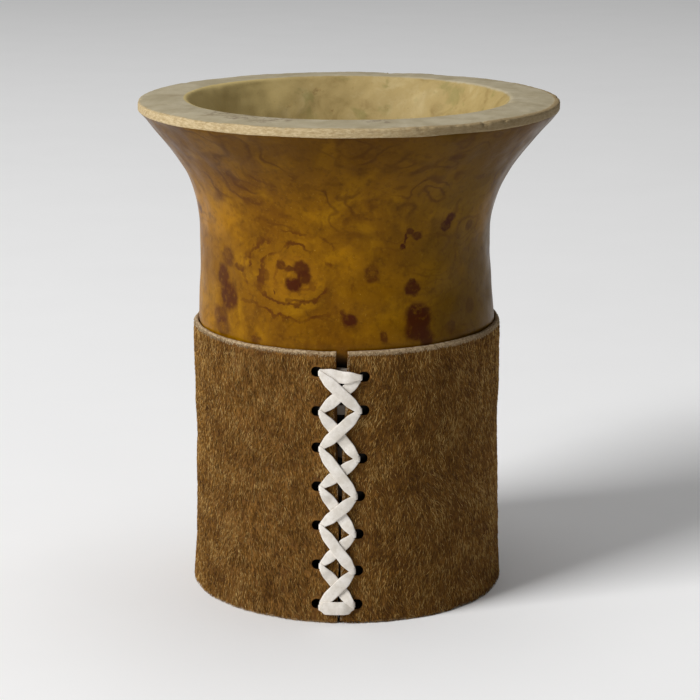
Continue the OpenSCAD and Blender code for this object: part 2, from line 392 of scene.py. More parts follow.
def outside_line():
    """Outline from the base to the rim's underside, as (radius, height)."""
    foot = curve((BASE_R, 0), ((BASE_R + 3 * BODY_R) / 4, 0), (BODY_R, 4.4), (BODY_R, 11), 8)
    t = np.linspace(0, 1, 6)
    barrel = np.stack([BODY_R + (COLLAR_R - BODY_R) * t**3, SLEEVE_H - 10 * (1 - t)], -1)
    rise = WAIST_Z - SLEEVE_H
    collar = curve((COLLAR_R, SLEEVE_H), (COLLAR_R - 0.45, SLEEVE_H + 0.4 * rise),
                   (WAIST_R, WAIST_Z - 0.45 * rise), (WAIST_R, WAIST_Z), 18)
    rise = RIM_UNDER_Z - WAIST_Z
    under = np.array([RIM_R - 0.1, RIM_UNDER_Z])
    flare = curve((WAIST_R, WAIST_Z), (WAIST_R, WAIST_Z + 0.53 * rise),
                  under - slant(FLARE_SLANT, 0.37 * rise), under, 40)
    return np.concatenate([[(0.4, 0), (10, 0), (BASE_R, 0)], foot, barrel, collar, flare])


def rim_line():
    """Outline of the cut band and the rim's broad face."""
    under = (RIM_R - 0.1, RIM_UNDER_Z)
    worn = curve((RIM_R, RIM_EDGE_Z - 0.75), (RIM_R, RIM_EDGE_Z - 0.1),
                 (RIM_R - 0.3, RIM_EDGE_Z), (RIM_R - 0.9, RIM_EDGE_Z + 0.03), 7)
    crest = (MOUTH_R + MOUTH_ROUND, GOURD_H)
    face = curve((RIM_R - 0.9, RIM_EDGE_Z + 0.03), (RIM_R - 4, RIM_EDGE_Z + 0.75 * RIM_RISE),
                 (MOUTH_R + 4, GOURD_H), crest, 24)
    return np.concatenate([straight(under, (RIM_R, RIM_UNDER_Z + 0.25), 2),
                           straight((RIM_R, RIM_UNDER_Z + 0.25), (RIM_R, RIM_EDGE_Z - 0.75), 4), worn, face])


def inside_line():
    """Outline of the mouth's edge, the neck and the cavity down to its floor."""
    crest = np.array([MOUTH_R + MOUTH_ROUND, GOURD_H])
    lip = np.array([MOUTH_R - 0.6 * MOUTH_ROUND, GOURD_H - MOUTH_ROUND])
    neck_r, cavity_r = WAIST_R - WALL, BODY_R - WALL
    neck_z, cavity_z = WAIST_Z + 5, WAIST_Z - 16
    edge = curve(crest, crest - [0.8 * MOUTH_ROUND, 0], lip + slant(FUNNEL_SLANT, 0.8 * MOUTH_ROUND), lip, 8)
    funnel = curve(lip, lip - slant(FUNNEL_SLANT, 7), (neck_r, neck_z + 9), (neck_r, neck_z), 26)
    neck = curve((neck_r, neck_z), (neck_r, WAIST_Z), (cavity_r, cavity_z + 8), (cavity_r, cavity_z), 10)
    wall = straight((cavity_r, cavity_z), (cavity_r, FLOOR_T + 15), 8)
    bowl = curve((cavity_r, FLOOR_T + 15), (cavity_r, FLOOR_T + 6),
                 (0.55 * cavity_r, FLOOR_T), (0.4, FLOOR_T), 12)
    return np.concatenate([edge, funnel, neck, wall, bowl])


OUTSIDE = outside_line()


def gourd_place(angle, z, inside=0.0):
    """A point on the gourd's outside, or that far inside it."""
    radius = np.interp(z, OUTSIDE[:, 1], OUTSIDE[:, 0]) - inside
    return around(math.radians(angle), radius, z) + [lean(z), 0, 0]


# Chips in the band's top edge: angle, width and depth.
CHIPS = [(17, 0.5, 0.25), (21, 0.8, 0.35), (23.5, 0.5, 0.3), (31, 0.7, 0.3), (34, 0.5, 0.35),
         (40, 0.9, 0.45), (47, 0.7, 0.3), (9, 0.5, 0.2), (-14, 0.6, 0.2), (-33, 0.8, 0.2),
         (-58, 0.7, 0.2), (95, 1.0, 0.3), (140, 0.8, 0.3), (171, 0.9, 0.35), (206, 0.7, 0.25),
         (238, 1.1, 0.3), (275, 0.8, 0.3)]

# A crack in the mouth's edge.
CRACK_ANGLE, CRACK_R, CRACK_Z = math.radians(77.0), MOUTH_R + 0.4, GOURD_H - 0.3
CRACK_DEPTH = 0.55


def gourd_points():
    """The gourd's points, ring by ring from base to cavity floor, and the number of rings before its cut."""
    line = np.concatenate([OUTSIDE, rim_line(), inside_line()])
    along = np.gradient(line, axis=0)
    along /= np.linalg.norm(along, axis=1)[:, None]
    out = np.stack([along[:, 1], -along[:, 0]], -1)
    angle = np.arange(COLUMNS) * 2 * np.pi / COLUMNS
    points = around(angle[None, :], line[:, :1], line[:, 1:])
    cut_from, cut_to = len(OUTSIDE), len(OUTSIDE) + len(rim_line())
    row = np.arange(len(line))
    cut = smooth((row - cut_from + 3) / 3) * smooth((cut_to - row + 3) / 6)
    inner = smooth((row - cut_to) / 12)
    skin = smooth((cut_from - row) / 4) * smooth((line[:, 1] - SLEEVE_H + 10) / 8)
    lift = (skin[:, None] * bumps(points, SKIN_BUMPS)
            + cut[:, None] * bumps(points, CUT_BUMPS)
            + inner[:, None] * bumps(points, INSIDE_BUMPS))
    for at, width, depth in CHIPS:
        chip = around(math.radians(at), RIM_R - 0.1, RIM_EDGE_Z - 0.1)
        away = np.linalg.norm(points - chip, axis=-1) / width
        lift -= depth * np.exp(-away**2 * 1.5) * (1 + 0.5 * waves(points, 1.0, 8))
    away = (points - around(CRACK_ANGLE, CRACK_R, CRACK_Z)) / [1.0, 0.45, 1.4]
    lift -= CRACK_DEPTH * np.exp(-(away**2).sum(-1) * 1.2)
    points[..., :2] += (lift * out[:, :1])[..., None] * np.stack([np.sin(angle), -np.cos(angle)], -1)[None]
    points[..., 2] += lift * out[:, 1:]
    points[line[:, 1] <= 0.0, :, 2] = 0.0
    points[..., 2] = points[..., 2].clip(min=0.0)
    points[..., 0] += lean(line[:, 1])[:, None]
    return points, cut_from


# Brown marks on the skin: angle, height, half width, half height and strength.
EYE = (-17.4, 76.0)       # middle of the mark that the faint rings go round
EYE_MARKS = [(-22, 78.5, 0.9, 1.1, 0.8), (-18.5, 77.7, 1.2, 0.6, 0.8), (-14, 78.0, 1.8, 1.5, 0.9),
             (-13, 76.2, 1.3, 1.5, 0.9), (-17, 74.6, 1.7, 1.5, 1.0), (-24.5, 73, 0.3, 0.8, 0.8),
             (-19, 71, 0.9, 0.5, 0.55), (-15, 71, 1.3, 0.35, 0.6), (-28.5, 75.8, 0.9, 1.1, 0.4)]
LEFT_MARKS = [(-49, 78.5, 2.3, 1.9, 0.6), (-42.5, 76.6, 1.3, 0.8, 0.65), (-36.5, 79.6, 1.1, 0.9, 0.3),
              (-53, 73.5, 1.8, 2.8, 0.85), (-49.5, 69.5, 2.9, 3.0, 0.9), (-54.5, 65, 2.6, 1.7, 0.7),
              (-52.5, 62.5, 2.6, 2.0, 0.65), (-33, 61.5, 1.3, 0.9, 0.6), (-37, 69.6, 2.5, 0.4, 0.35)]
RIGHT_MARKS = [(4, 67.2, 1.5, 1.3, 1.0), (2, 68.8, 0.6, 0.7, 0.7), (12.6, 77, 1.5, 1.8, 0.75),
               (29, 73.3, 1.7, 1.5, 0.95), (28.7, 74.8, 0.8, 0.7, 0.8), (31.2, 67, 2.7, 2.9, 1.0),
               (30, 64.3, 2.7, 2.2, 0.95), (34, 62.3, 1.7, 1.6, 0.9), (16.8, 63.4, 0.8, 1.3, 0.75),
               (24.6, 82.6, 0.6, 0.6, 1.0), (25.7, 84.3, 0.35, 1.4, 0.9), (27.3, 85.9, 0.8, 0.8, 0.8),
               (30.2, 84.8, 1.2, 0.7, 0.8), (43, 86.3, 1.4, 1.2, 1.0), (45.2, 87.8, 1.3, 0.9, 0.9),
               (57, 85.3, 1.1, 1.3, 0.5), (36, 102.6, 1.6, 0.5, 0.6), (52.5, 96.4, 1.7, 0.5, 0.45),
               (11, 92.7, 1.3, 1.3, 0.3), (8, 103.8, 1.4, 0.8, 0.3), (46, 63.8, 1.5, 1.3, 0.4),
               (59, 67.2, 1.6, 1.6, 0.4)]


def back_marks(count=13):
    """Marks on the far side, like those in front."""
    rng = np.random.default_rng(11)
    marks = []
    for angle in np.linspace(84, 290, count):
        marks.append((angle + rng.uniform(-4, 4), rng.uniform(62, 92),
                      *rng.uniform(0.8, 2.8, 2), rng.uniform(0.45, 0.95)))
    return marks


def skin_material():
    """Varnished amber skin: cloudy, with brown marks, rings round one of them and fine swirling veins, and
    painted shade on its right side, up the flare under the rim and under the sleeve.
    """
    s = Nodes("Gourd skin")
    height, side = s.part(s.place, 2), s.part(s.place, 0)
    cloud = s.noise(22.0, 4.0, 0.55, twist=0.6)
    base = s.ramp(cloud, [(0.3, colour(100, 61, 1)), (0.5, colour(118, 77, 1)), (0.68, colour(144, 97, 2))])
    gold = s.fade(s.noise(11.0, 3.0, 0.55, twist=0.8), 0.48, 0.66, 0.0, 0.6)
    base = s.mix(gold, base, colour(152, 106, 3))
    mottle = s.noise(4.2, 4.0, 0.55, at=s.stretched(1.25, 1.0))
    base = s.mix(s.fade(mottle, 0.48, 0.3, 0.0, 0.45), base, colour(84, 50, 1))
    fine = s.noise(0.8, 3.0, 0.6)
    base = s.mix(s.fade(fine, 0.5, 0.75, 0.0, 0.25), base, colour(152, 108, 18))
    speck = s.fade(s.noise(0.45, 1.0), 0.76, 0.8, 0.0, 0.6)
    base = s.mix(speck, base, colour(176, 134, 50))

    # Painted shade: the skin turns darker and more olive towards the right side, away from the key light.
    olive_shade = s.times(s.fade(side, 4.0, 30.0), s.fade(s.noise(30.0, 2.0), 0.35, 0.6, 0.2, 0.65))
    base = s.mix(olive_shade, base, colour(96, 72, 1))

    # Veins are the contour lines of a warped noise, drawn out sideways towards the rim.
    bent = s.vector("MULTIPLY", s.warped(7.0, 2.4), (1.0, 1.0, 1.6))
    rings = s.math("FRACT", s.times(s.noise(21.0, 2.0, 0.45, at=bent), 12.0))
    line = s.fade(s.math("ABSOLUTE", s.math("SUBTRACT", rings, 0.5)), 0.26, 0.0)
    patch = s.fade(s.noise(10.0, 2.0), 0.42, 0.58, 0.15, 1.0)
    upper = s.times(s.fade(height, 78.0, 96.0, 0.2, 0.6), patch)
    base = s.mix(s.times(line, upper), base, colour(70, 34, 1))

    wobble = s.times(s.math("SUBTRACT", s.noise(6.0, 4.0, 0.6), 0.5), 8.0)
    far = s.vector("SUBTRACT", s.place, tuple(gourd_place(*EYE)))
    far = s.length(s.vector("MULTIPLY", far, (0.8, 0.8, 1.0)))
    ring = s.math("ADD", far, wobble)
    wave = s.math("SINE", s.times(ring, 2.1))
    ring_line = s.times(s.fade(wave, 0.4, 1.0), s.fade(far, 12.0, 8.5))
    ring_line = s.times(ring_line, s.fade(s.noise(5.0, 3.0), 0.38, 0.56, 0.15, 0.85))
    base = s.mix(ring_line, base, colour(78, 38, 1))
    glow = s.fade(far, 6.5, 4.0, 0.0, 0.35)
    base = s.mix(glow, base, colour(150, 100, 10))

    ragged = s.warped(2.2, 0.7)
    ragged = s.vector("ADD", ragged, s.vector("SCALE", s.vector("SUBTRACT",
                      s.noise(0.8, 2.0, output="Color"), (0.5, 0.5, 0.5)), scale=0.7))
    worn = s.fade(s.noise(1.7, 4.0, 0.65), 0.3, 0.52, 0.5, 1.0)
    for angle, z, half_width, half_height, strength in EYE_MARKS + LEFT_MARKS + RIGHT_MARKS + back_marks():
        mark = s.spot(ragged, gourd_place(angle, z), 1.1 * half_width, 1.1 * half_height)
        mark = s.times(s.times(mark, worn), strength)
        base = s.mix(mark, base, colour(66, 26, 2))

    # Painted shade: the skin darkens up the flare towards the rim's underside.
    base = s.mix(s.fade(height, 88.0, 107.0, 0.0, 0.62), base, colour(70, 44, 1))
    grain = s.noise(1.3, 4.0, 0.65)
    base = s.mix(s.fade(grain, 0.5, 0.32, 0.0, 0.3), base, colour(64, 34, 1))
    # Painted shade: below the sleeve's top the skin turns nearly black, for the shadow seen through the seam
    # and the holes.
    base = s.mix(s.fade(height, SLEEVE_H - 0.3, SLEEVE_H - 4.0), base, colour(14, 8, 3))

    rough = s.fade(s.noise(5.0, 4.0, 0.6), 0.3, 0.7, 0.28, 0.42)
    dents = s.bump(s.noise(7.0, 4.0, 0.6), 0.10)
    dents = s.bump(s.noise(0.7, 3.0, 0.6), 0.012, dents)
    return s.finish(Base_Color=base, Roughness=rough, Normal=dents, Specular_IOR_Level=0.07)


# Dark smudges on the rim's broad face: angle, radius and half width.
SMUDGES = [(-22, 37.6, 5.0), (-32, 39.5, 3.0), (-42, 37.4, 3.5), (12, 38.2, 3.0)]


def cut_material():
    """Raw cut gourd: the band and the broad face of the rim, and the pale, stained inside, with painted
    shade on the band's right and painted light on the inside's left.
    """
    s = Nodes("Gourd cut")
    height = s.part(s.place, 2)
    radius = s.length(s.vector("MULTIPLY", s.place, (1, 1, 0)))
    face = s.ramp(s.noise(6.0, 5.0, 0.6), [(0.3, colour(160, 148, 119)), (0.7, colour(178, 167, 140))])
    angle = s.math("ARCTAN2", s.part(s.place, 0), s.times(s.part(s.place, 1), -1.0))
    along = s.times(angle, RIM_R)
    fibre = s.add("CombineXYZ", {"X": s.times(along, 0.5), "Y": radius, "Z": s.times(height, 1.4)})
    fibre = s.noise(0.5, 4.0, 0.7, at=fibre)
    band = s.ramp(fibre, [(0.3, colour(160, 137, 95)), (0.7, colour(195, 175, 136))])
    inner = s.ramp(s.noise(8.0, 5.0, 0.62, twist=0.4),
                   [(0.25, colour(134, 112, 62)), (0.5, colour(164, 142, 90)),
                    (0.72, colour(180, 160, 112))])
    wobble = s.times(s.math("SUBTRACT", s.noise(1.2, 3.0), 0.5), 0.9)
    at_band = s.fade(s.math("ADD", radius, wobble), RIM_R - 1.1, RIM_R - 0.5)
    base = s.mix(at_band, face, band)

    streak = s.add("TexNoise", {"Vector": s.vector("MULTIPLY", s.place, (0.25, 0.9, 1.0)), "Scale": 0.45,
                                "Detail": 4.0, "Roughness": 0.65})
    base = s.mix(s.fade(streak, 0.56, 0.7, 0.0, 0.4), base, colour(128, 108, 78))
    for smudge_angle, smudge_r, wide in SMUDGES:
        smudge = around(math.radians(smudge_angle), smudge_r, GOURD_H)
        smudge = s.spot(s.warped(2.0, 1.4), smudge, wide, wide)
        smudge = s.times(smudge, s.fade(s.noise(1.6, 4.0, 0.7), 0.46, 0.62, 0.0, 0.55))
        base = s.mix(smudge, base, colour(98, 76, 62))

    # Painted shade: the band darker towards the right side, away from the key light.
    shade = s.times(s.fade(s.part(s.place, 0), 4.0, 24.0, 0.0, 0.6), at_band)
    base = s.mix(shade, base, colour(122, 102, 68))
    at_inside = s.fade(s.math("ADD", radius, s.times(wobble, 0.6)), MOUTH_R + 0.75, MOUTH_R + 0.2)
    green = s.fade(s.noise(7.0, 4.0, 0.6, twist=0.5), 0.55, 0.68, 0.0, 0.5)
    inner = s.mix(green, inner, colour(124, 118, 62))
    stain = s.fade(s.noise(2.6, 4.0, 0.7), 0.62, 0.72, 0.0, 0.45)
    inner = s.mix(stain, inner, colour(112, 82, 38))
    # Painted light: the inside paler towards the left, where its wall lies in shade.
    inner = s.mix(s.fade(s.part(s.place, 0), -8.0, -28.0, 0.0, 0.85), inner, colour(202, 180, 118))
    deep = s.fade(height, 100.0, 60.0, 0.0, 0.5)
    inner = s.mix(deep, inner, colour(96, 74, 40))
    base = s.mix(at_inside, base, inner)

    crack = s.spot(s.warped(0.8, 0.4), around(CRACK_ANGLE, CRACK_R, CRACK_Z), 0.55, 1.0)
    base = s.mix(s.times(crack, 0.85), base, colour(78, 54, 30))
    pores = s.fade(s.noise(0.55, 2.0, 0.7), 0.66, 0.74, 0.0, 0.3)
    base = s.mix(pores, base, colour(100, 76, 44))

    dents = s.bump(s.noise(5.0, 4.0, 0.6), 0.10)
    fibres = s.bump(s.noise(0.5, 4.0, 0.65), 0.03, dents)
    fibres = s.bump(s.times(fibre, at_band), 0.12, fibres)
    return s.finish(Base_Color=base, Roughness=0.72, Normal=fibres, Specular_IOR_Level=0.35)


def add_gourd():
    points, cut_from = gourd_points()
    rows = len(points)
    faces = grid_faces(rows, COLUMNS)
    start = np.arange(COLUMNS)
    caps = np.stack([start[::-1], (rows - 1) * COLUMNS + start])
    which = np.repeat(np.arange(rows - 1) >= cut_from - 1, COLUMNS).astype(int)
    piece = add_piece("gourd_shell", points.reshape(-1, 3), [faces, caps], [skin_material(), cut_material()],
                      np.concatenate([which, [0, 1]]))
    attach(piece, "root")
    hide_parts("gourd")


# -------------------- the hide sleeve

COLLAR_GAP = 0.3          # between the gourd and the hide at the top
FOOT_FLARE = 1.15         # how far the hide spreads at its foot

# How far the left and the right flap's edges are from the seam, at these heights.
SEAM_H = [0, 13, 21.5, 30, 38, 46.5, SLEEVE_H]
SEAM_LEFT = [0.5, 0.15, 0.15, 0.35, 0.8, 1.05, 0.65]
SEAM_RIGHT = [0.1, 0.3, 0.4, 0.75, 0.65, 1.25, 1.85]
CUT_EDGE, CUT_DEPTH = 0.6, 0.4      # width and depth of the rounding along the top edge and the foot
SEAM_EDGE, SEAM_DEPTH = 0.3, 0.15   # and along the seam
LACE_SIDE = 9.0           # the hide is even this far to each side of the seam, where the lace lies on it
HIDE_BUMPS = [(0.09, 17, 24), (0.03, 5, 25)]
BEVEL = np.array([0, 0.04, 0.1, 0.18, 0.3, 0.6, 0.9])     # columns of points by a flap's edge
PLAIN_FROM = 1.3          # the evenly spaced columns begin this far from it
PLAIN_COLUMNS = 470
PLAIN_ROWS = 118
INNER_ROWS = 16
HOLE_POINTS = 36
CUTTER_REACH = (-3.0, 1.5)          # the hole cutters' two ends, above the hide's face


def sleeve_r(z):
    """Radius of the CAD sleeve's face."""
    closed = smooth((z - SLEEVE_WAIST_Z) / (0.95 * SLEEVE_H - SLEEVE_WAIST_Z))
    upper = BODY_R + LACE_ROOM + closed * (COLLAR_R + COLLAR_GAP - BODY_R - LACE_ROOM)
    lower = BODY_R + LACE_ROOM + FOOT_FLARE * (1 - np.clip(z / SLEEVE_WAIST_Z, 0, 1))**2
    return np.where(z > SLEEVE_WAIST_Z, upper, lower) + HIDE_T


def skin_r(z):
    """Radius of the skin, under its hair."""
    return sleeve_r(z) - HAIR_ROOM


MEAN_R = 34.3
HALF_WAY = np.pi * MEAN_R       # from the seam to the middle of the back


def sleeve_angle(x, z):
    """Angle of a place x from the seam: true near the seam, and evened out towards the back."""
    near = 1 - smooth((np.abs(x) - 15) / 60)
    return x / MEAN_R + near * (x / sleeve_r(z) - x / MEAN_R)


def on_sleeve(x, z, above=0.0):
    """A point x along the sleeve from the seam, at height z, that far above the skin."""
    return around(sleeve_angle(x, z), skin_r(z) + above, z)


def sleeve_top(x):
    """Height of the uneven top edge; x is the distance round from the seam."""
    angle = x / MEAN_R
    place = around(angle, MEAN_R, 0.0)
    sag = 0.22 - 0.16 * np.sin(angle) + 0.1 * np.exp(-((x + 4) / 6)**2)
    return SLEEVE_H - sag - 0.05 * np.abs(waves(place, 9, 21)) - 0.02 * np.abs(waves(place, 1.6, 22))


def sleeve_foot(x):
    """Height of the uneven foot, with a step up beside the seam on the right."""
    place = around(x / MEAN_R, MEAN_R, 0.0)
    step = np.where(x > 0, 0.4 * np.exp(-(x / 7)**2), 0.0)
    return step + 0.03 * np.abs(waves(place, 8, 23)) + 0.03


def seam_edges(z):
    """How far the left and the right flap's edges are from the seam."""
    return np.interp(z, SEAM_H, SEAM_LEFT), np.interp(z, SEAM_H, SEAM_RIGHT)


def hide_bumps(place, x):
    """How far the skin stands out, away from the lace."""
    return smooth((np.abs(x) - LACE_SIDE + 2) / 6) * bumps(place, HIDE_BUMPS)


def rounding(share):
    """Depth of a rounded edge, from 1 at the edge itself to 0 where the rounding ends."""
    return 1 - np.sqrt(np.clip(1 - (1 - np.clip(share, 0, 1))**2, 0, 1))


def add_hide():
    whole = 2 * HALF_WAY
    plain = np.linspace(PLAIN_FROM, whole - PLAIN_FROM, PLAIN_COLUMNS)
    share = np.concatenate([BEVEL, plain, whole - BEVEL[::-1]])       # distance along the strip of hide
    levels = np.concatenate([[0, 0.003, 0.007, 0.012], np.linspace(0.02, 0.98, PLAIN_ROWS),
                             [0.988, 0.993, 0.997, 1]])
    rows = np.concatenate([levels, np.linspace(1, 0, INNER_ROWS)])
    outer_count = len(levels)

    signed = np.where(share > HALF_WAY, share - whole, share)
    foot, top = sleeve_foot(signed), sleeve_top(signed)
    z = foot + rows[:, None] * (top - foot)
    left, right = seam_edges(z)
    x = right + share[None, :] / whole * (whole - right - left)
    x = np.where(x > HALF_WAY, x - whole, x)
    from_edge = np.minimum(share, whole - share)[None, :]
    from_rim = np.minimum(rows[:outer_count, None], 1 - rows[:outer_count, None]) * SLEEVE_H
    worn = CUT_DEPTH * rounding(from_rim / CUT_EDGE) + SEAM_DEPTH * rounding(from_edge / SEAM_EDGE)
    shift = hide_bumps(around(x / MEAN_R, MEAN_R, z), x)
    radius = skin_r(z) + shift
    radius[:outer_count] -= worn
    radius[outer_count:] += HAIR_ROOM - HIDE_T - shift[outer_count:]
    points = around(sleeve_angle(x, z), radius, z)

    columns, count = len(share), len(rows)
    faces = grid_faces(count, columns, closed_rows=True, closed_columns=False)
    ends = []
    for column, order in ((0, 1), (columns - 1, -1)):
        ends.append((np.arange(count) * columns + column)[::order])
    hole_wall = hole_material()
    sleeve = add_piece("hide_skin", points.reshape(-1, 3), [faces, np.stack(ends)],
                       [hide_material(), hole_wall])
    punch_holes(sleeve, hole_wall)
    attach(sleeve, "root")
    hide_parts("hide_sleeve")


def hole_outline(side):
    """Outline of a punched hole about its middle, drawn out to a notch towards the seam by the lace."""
    turn = np.arange(HOLE_POINTS) * 2 * np.pi / HOLE_POINTS
    across, up = np.cos(turn), np.sin(turn)
    notched = side * across < 0
    square_across = np.sign(across) * np.abs(across)**0.5
    square_up = np.sign(up) * np.abs(up)**0.5
    return (np.where(notched, (NOTCH + NOTCH_AIR) * square_across, HOLE_R * across),
            HOLE_R * np.where(notched, square_up, up))


def punch_holes(sleeve, hole_wall):
    """Cut the lace holes through the hide."""
    points, walls, ends = [], [], []
    for x, z in LEFT_HOLES + RIGHT_HOLES:
        across, up = hole_outline(1 if x > 0 else -1)
        start, n = len(points), len(across)
        angle = x / sleeve_r(z)
        sideways = np.outer(across, [math.cos(angle), math.sin(angle), 0])
        for above in CUTTER_REACH:
            points.extend(around(angle, sleeve_r(z) + above, z + up) + sideways)
        k = np.arange(n)
        walls.append(np.stack([start + k, start + (k + 1) % n, start + n + (k + 1) % n, start + n + k], -1))
        ends.append(np.stack([start + k[::-1], start + n + k]))
    cutter = add_piece("hole_cutter", np.array(points), [np.concatenate(walls), np.concatenate(ends)],
                       [hole_wall])
    for face in cutter.data.polygons:
        face.material_index = 1
    cut = sleeve.modifiers.new("holes", "BOOLEAN")
    cut.object = cutter
    cut.operation = "DIFFERENCE"
    cut.solver = "EXACT"
    shape = bpy.data.meshes.new_from_object(sleeve.evaluated_get(bpy.context.evaluated_depsgraph_get()))
    sleeve.modifiers.clear()
    sleeve.data = shape
    bpy.data.objects.remove(cutter)


def hide_material():
    """Tanned hide between the hairs, with pale cut edges."""
    s = Nodes("Hide skin")
    base = s.ramp(s.noise(3.0, 5.0, 0.65), [(0.3, colour(92, 58, 18)), (0.7, colour(132, 92, 38))])
    fine = s.noise(0.45, 3.0, 0.6)
    base = s.mix(s.fade(fine, 0.4, 0.65, 0.0, 0.45), base, colour(66, 38, 10))
    height = s.part(s.place, 2)
    pale = s.ramp(s.noise(0.6, 4.0, 0.7), [(0.32, colour(122, 98, 68)), (0.68, colour(186, 164, 132))])
    ragged = s.times(s.math("SUBTRACT", s.noise(0.8, 3.0, 0.6), 0.5), 1.2)
    near_top = s.fade(s.math("ADD", height, ragged), SLEEVE_H - 1.3, SLEEVE_H - 0.7)
    near_foot = s.fade(s.math("ADD", height, ragged), 0.6, 0.3)
    base = s.mix(s.math("MAXIMUM", near_top, near_foot), base, pale)
    depth = s.fade(s.length(s.vector("MULTIPLY", s.place, (1, 1, 0))), 33.5, 33.2)
    base = s.mix(depth, base, colour(150, 112, 72))
    pores = s.bump(s.noise(0.4, 3.0, 0.6), 0.06)
    return s.finish(Base_Color=base, Roughness=0.85, Normal=pores, Specular_IOR_Level=0.2)


def hole_material():
    """Walls of the punched holes, painted near-black as painted shade so that the holes look dark."""
    s = Nodes("Hole wall")
    base = s.ramp(s.noise(0.5, 3.0, 0.6), [(0.3, colour(16, 9, 4)), (0.7, colour(38, 24, 14))])
    fibres = s.bump(s.noise(0.3, 3.0), 0.05)
    return s.finish(Base_Color=base, Roughness=0.95, Normal=fibres, Specular_IOR_Level=0.05)


# -------------------- the hair

HAIRS = 102000            # roots tried all over the sleeve
FRINGE_HAIRS = 2400       # pale hairs along the top edge
SEAM_HAIRS = 900          # and along the seam
HAIR_LENGTH = 1.6
FRINGE_LENGTH = 0.5
HAIR_WIDTH = 0.115
HAIR_LIMITS = [-0.62, 0.0, 0.62]    # between the dark, brown, tan and light hairs
BARE_TOP, BARE_FOOT = 0.65, 0.4     # strips without roots at the top and the foot
BARE_LEFT, BARE_RIGHT = 0.12, 0.42  # and along the flaps' edges
BARE_HOLE = 0.12          # and round each hole
HOLE_CLEAR = 0.08         # a lying hair keeps this far from a hole
SEAM_CLEAR = 0.03         # and this far from a flap's edge


def hair_material(name, dark, light):
    """Hair of one colour, lighter or darker from hair to hair and paler to its tip."""
    s = Nodes(name)
    tone = s.point_value("tone")
    patch = s.noise(9.0, 4.0, 0.6)
    tone = s.math("ADD", s.times(tone, 0.75), s.fade(patch, 0.35, 0.65, -0.12, 0.3))
    base = s.mix(tone, dark, light)
    along = s.point_value("along")
    base = s.mix(s.fade(along, 0.3, 1.0, 0.0, 0.3), base, light)
    scales = s.bump(s.noise(0.1, 2.0), 0.01)
    return s.finish(Base_Color=base, Roughness=0.55, Normal=scales, Specular_IOR_Level=0.2)


HOLES = np.array(LEFT_HOLES + RIGHT_HOLES)
HAIR_COLOURS = {
    "dark": (colour(78, 48, 12), colour(118, 78, 26)),
    "brown": (colour(106, 68, 18), colour(148, 103, 38)),
    "tan": (colour(128, 86, 26), colour(174, 127, 56)),
    "light": (colour(154, 112, 50), colour(208, 172, 106)),
    "fringe": (colour(132, 108, 74), colour(200, 178, 142)),
}


def hair_roots(count, seed):
    """Places of hair roots on the sleeve, clear of the seam, the holes and the cut edges."""
    rng = np.random.default_rng(seed)
    x = rng.uniform(-HALF_WAY, HALF_WAY, count)
    z = rng.uniform(0.5, SLEEVE_H - 0.3, count)
    keep = (z < sleeve_top(x) - BARE_TOP + rng.normal(0, 0.2, count)) & (z > sleeve_foot(x) + BARE_FOOT)
    left, right = seam_edges(z)
    keep &= (x > right + BARE_RIGHT) | (x < -left - BARE_LEFT)
    for hole_x, hole_z in HOLES:
        keep &= np.hypot(x - hole_x, z - hole_z) > HOLE_R + BARE_HOLE
    return x[keep], z[keep]


def lay_hair(x, z, seed, length, width):
    """Closed spindles, one for each hair, lying mostly downwards in gentle swirls."""
    rng = np.random.default_rng(seed)
    n = len(x)
    place = around(x / MEAN_R, MEAN_R, z)
    flow = 0.16 * waves(place, 26, 31) + 0.12 * waves(place, 7, 32) + rng.normal(0, 0.30, n)
    long = length * rng.uniform(0.65, 1.3, n)
    wide = width * rng.uniform(0.75, 1.25, n)
    lift = np.abs(rng.normal(0.16, 0.07, n)).clip(0.06, 0.34)
    under_lace = smooth((8.0 - np.abs(x)) / 2)
    lift = lift * (1 - under_lace) + 0.07 * under_lace
    way_x, way_z = np.sin(flow), -np.cos(flow)
    clear = np.ones(n, bool)
    for hole_x, hole_z in HOLES:
        nearest = np.clip((hole_x - x) * way_x + (hole_z - z) * way_z, 0, long)
        clear &= np.hypot(x + nearest * way_x - hole_x, z + nearest * way_z - hole_z) > HOLE_R + HOLE_CLEAR
    kept = (values[clear] for values in (x, z, place, long, wide, lift, way_x, way_z))
    x, z, place, long, wide, lift, way_x, way_z = kept
    n = len(x)

    def at(share, aside, above):
        """Points at a share of each hair's length, kept off the seam and the floor."""
        px = x + long * share * way_x + aside * way_z
        pz = z + long * share * way_z - aside * way_x
        left, right = seam_edges(pz)
        px = np.where(x > 0, np.maximum(px, right + SEAM_CLEAR), np.minimum(px, -left - SEAM_CLEAR))
        pz = np.maximum(pz, 0.12)
        return on_sleeve(px, pz, above)

    rise = hide_bumps(place, x)
    rise -= CUT_DEPTH * rounding((sleeve_top(x) - z) / CUT_EDGE)
    points = np.stack([
        at(0.0, 0.0, rise - 0.05),
        at(0.4, -wide / 2, rise + 0.6 * lift),
        at(0.4, wide / 2, rise + 0.6 * lift),
        at(0.42, 0.0, rise + 0.6 * lift + 0.7 * wide),
        at(1.0, 0.0, rise + lift),
    ], 1)
    start = np.arange(n)[:, None] * 5
    faces = np.concatenate([start + np.array(f) for f in
                            ((0, 1, 3), (0, 3, 2), (0, 2, 1), (4, 3, 1), (4, 2, 3), (4, 1, 2))])
    along = np.tile([0, 0.4, 0.4, 0.42, 1.0], n)
    tone = np.repeat(rng.uniform(0, 1, n), 5)
    return points.reshape(-1, 3), faces, along, tone


